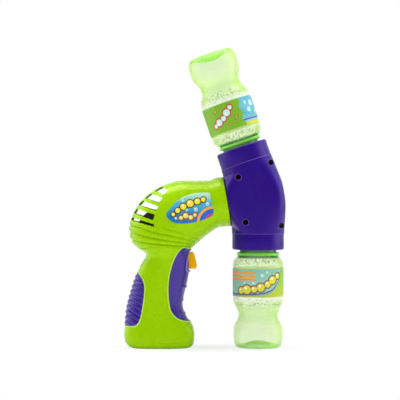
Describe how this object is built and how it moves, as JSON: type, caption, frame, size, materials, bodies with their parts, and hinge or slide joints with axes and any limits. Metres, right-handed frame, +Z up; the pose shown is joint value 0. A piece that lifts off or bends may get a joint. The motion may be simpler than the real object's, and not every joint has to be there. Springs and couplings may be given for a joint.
{
  "type": "bubble blower",
  "caption": "Battery bubble blower with a pistol handle and a flip head that holds a screw-in bottle at each end.",
  "frame": {"origin": "middle of the bounding box, on the plane that the handle foot and the lower bottle stand on", "axes": "+X forward to the bubble mouth, +Z up, +Y to the side with the battery door"},
  "size_m": [0.1546, 0.0544, 0.2865],
  "materials": {
    "green": "glossy lime green",
    "purple": "satin purple",
    "grip": "satin purple grip",
    "orange": "glossy orange",
    "label": "printed film",
    "paper": "printed paper",
    "inner": "moulded grey",
    "white": "moulded white",
    "cell": "wrapped cell",
    "steel": "plated steel",
    "black_screw": "black oxide",
    "brass": "brass",
    "rubber": "soft grey",
    "bottle": "clear green"
  },
  "bodies": {
    "body": {"body_shell_left": "green", "body_shell_right": "green", "body_screws": "steel", "grip_front": "grip", "grip_rear": "grip", "side_label_left": "label", "side_label_right": "label", "battery_tray": "inner", "battery_cells": "cell", "battery_springs": "steel", "battery_contacts": "steel", "trigger_guide": "inner", "switch_base": "inner", "switch_contacts": "brass", "fan_casing": "inner", "fan_casing_cover": "inner", "motor_can": "steel", "motor_end_cap": "white", "swivel_spigot": "white", "trigger_spring": "steel"},
    "trigger": {"trigger": "orange", "contact_bridge": "brass"},
    "fan": {"fan_impeller": "white", "motor_shaft": "steel"},
    "battery_door": {"battery_door": "green", "battery_door_screw": "steel"},
    "head": {"head_shell_left": "purple", "head_shell_right": "purple", "head_screws": "black_screw", "swivel_collar": "purple", "bottle_socket_lower": "purple", "bottle_socket_upper": "purple", "drip_funnel_lower": "white", "drip_funnel_upper": "white", "bubble_wand": "white", "bubble_nozzle": "purple"},
    "seal_lower": {"seal_lower": "rubber"},
    "seal_upper": {"seal_upper": "rubber"},
    "bottle_lower": {"bottle_lower": "bottle", "bottle_label_lower": "paper"},
    "bottle_upper": {"bottle_upper": "bottle", "bottle_label_upper": "paper"}
  },
  "joints": [
    {"name": "head_flip", "type": "hinge", "parent": "body", "child": "head", "pos_m": [0.05122, 0, 0.1439], "axis": [0.9866, 0, 0.1633], "continuous": true},
    {"name": "trigger_pull", "type": "slide", "parent": "body", "child": "trigger", "axis": [-1, 0, 0], "range_m": [0, 0.005], "stiffness_N_per_m": 300, "deforming": ["trigger_spring"]},
    {"name": "fan_spin", "type": "hinge", "parent": "body", "child": "fan", "pos_m": [-0.0443, 0, 0.1125], "axis": [0, 1, 0], "continuous": true},
    {"name": "battery_door_pull", "type": "slide", "parent": "body", "child": "battery_door", "axis": [0, 1, 0], "range_m": [0, 0.03]},
    {"name": "lower_bottle_lift", "type": "slide", "parent": "head", "child": "seal_lower", "axis": [0, 0, -1], "range_m": [0, 0.00526]},
    {"name": "lower_bottle_turn", "type": "hinge", "parent": "seal_lower", "child": "bottle_lower", "pos_m": [0.05122, 0, 0.1439], "axis": [0, 0, -1], "range_deg": [0, 450]},
    {"name": "upper_bottle_lift", "type": "slide", "parent": "head", "child": "seal_upper", "axis": [-0.3223, 0, 0.9466], "range_m": [0, 0.00526]},
    {"name": "upper_bottle_turn", "type": "hinge", "parent": "seal_upper", "child": "bottle_upper", "pos_m": [0.05122, 0, 0.1439], "axis": [-0.3223, 0, 0.9466], "range_deg": [0, 450]}
  ],
  "couplings": [
    {"joint": "lower_bottle_lift", "follows": "lower_bottle_turn", "m_per_rad": 0.00066845},
    {"joint": "upper_bottle_lift", "follows": "upper_bottle_turn", "m_per_rad": 0.00066845}
  ]
}
